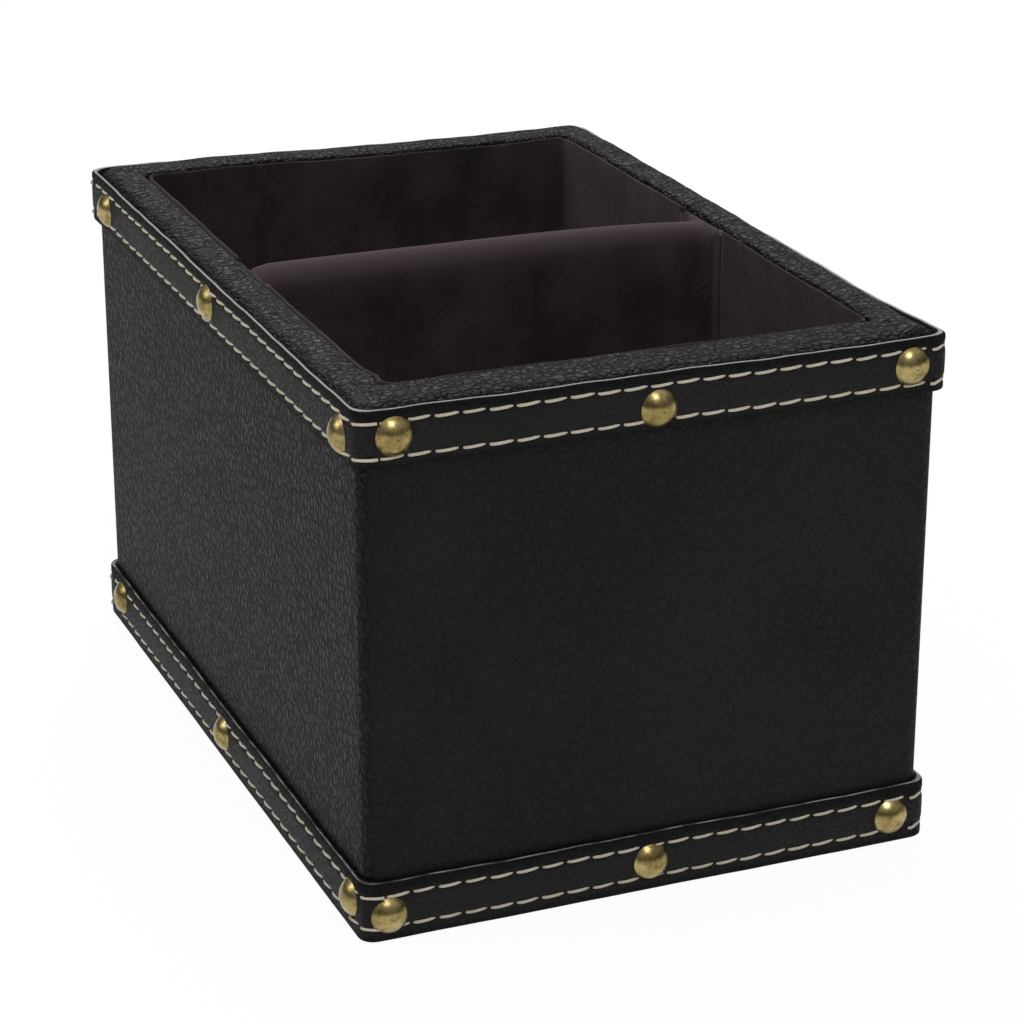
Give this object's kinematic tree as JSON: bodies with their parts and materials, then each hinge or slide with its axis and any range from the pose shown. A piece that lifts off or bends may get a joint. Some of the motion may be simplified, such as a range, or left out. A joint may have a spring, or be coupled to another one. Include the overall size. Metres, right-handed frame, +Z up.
{
  "type": "remote control holder",
  "caption": "Open-topped rectangular desk box with a fabric-lined bay either side of a cross divider, leather covered with stitched, tacked edge straps.",
  "frame": {"origin": "on the surface it stands on, under the middle of the box", "axes": "+X to the right, +Y from the front face to the back, across the divider, +Z up"},
  "size_m": [0.1552, 0.2252, 0.133],
  "materials": {
    "board": "raw fibreboard",
    "leather_cloth": "pebble grain, satin",
    "strap_leather": "pebble grain, satin, pale raw cut edge, cream stitching",
    "velvet": "short pile",
    "felt": "pressed felt",
    "tack_metal": "antique brass, brushed patina"
  },
  "bodies": {
    "root": {"base_board": "board", "front_board": "board", "back_board": "board", "left_board": "board", "right_board": "board", "divider_board": "board", "outer_wrap": "leather_cloth", "top_band": "strap_leather", "bottom_band": "strap_leather", "front_bay_lining": "velvet", "rear_bay_lining": "velvet", "divider_cover": "velvet", "front_bay_floor": "velvet", "rear_bay_floor": "velvet", "base_felt": "felt", "front_top_tacks": "tack_metal", "front_bottom_tacks": "tack_metal", "left_top_tacks": "tack_metal", "left_bottom_tacks": "tack_metal", "back_top_tacks": "tack_metal", "back_bottom_tacks": "tack_metal", "right_top_tacks": "tack_metal", "right_bottom_tacks": "tack_metal"}
  },
  "joints": []
}
